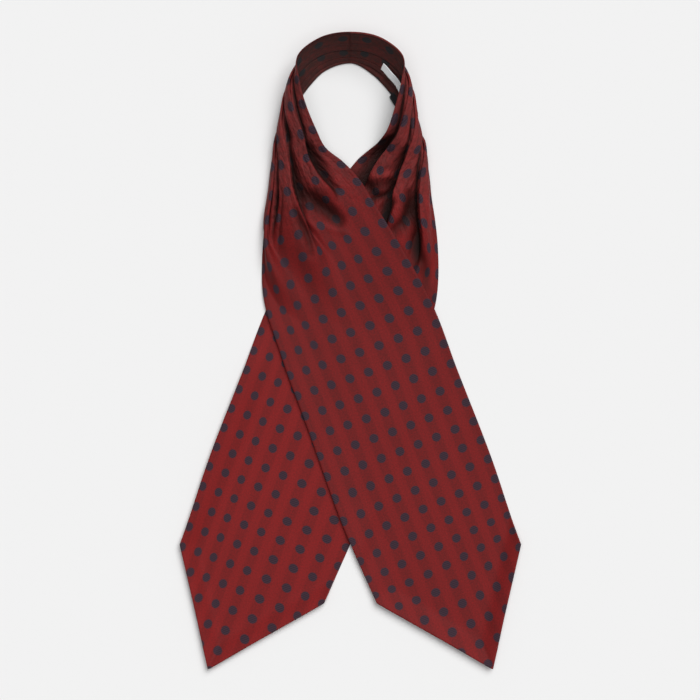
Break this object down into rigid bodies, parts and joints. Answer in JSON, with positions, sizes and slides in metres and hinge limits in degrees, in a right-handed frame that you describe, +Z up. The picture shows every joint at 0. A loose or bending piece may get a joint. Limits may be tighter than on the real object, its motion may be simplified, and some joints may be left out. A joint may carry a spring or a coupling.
{
  "type": "silk cravat",
  "caption": "Polka-dot silk day cravat laid out flat, its pleated neckband as a tilted ring and its two wide pointed blades crossed.",
  "frame": {"origin": "centre of the laid-out cravat on the table that it lies on", "axes": "+Y from the pointed ends to the centre back of the neckband, +Z up from the table, +X across, to the side on which the over half's blade ends"},
  "size_m": [0.3298, 0.6111, 0.0402],
  "materials": {
    "dotted_silk": "satin sheen, fine diagonal twill, tonal stripes and navy dots",
    "white_label": "matt satin tape",
    "black_tag": "matt woven tape"
  },
  "bodies": {
    "root": {"over_half": "dotted_silk", "under_half": "dotted_silk", "maker_label": "white_label", "care_tag": "black_tag"}
  },
  "joints": []
}
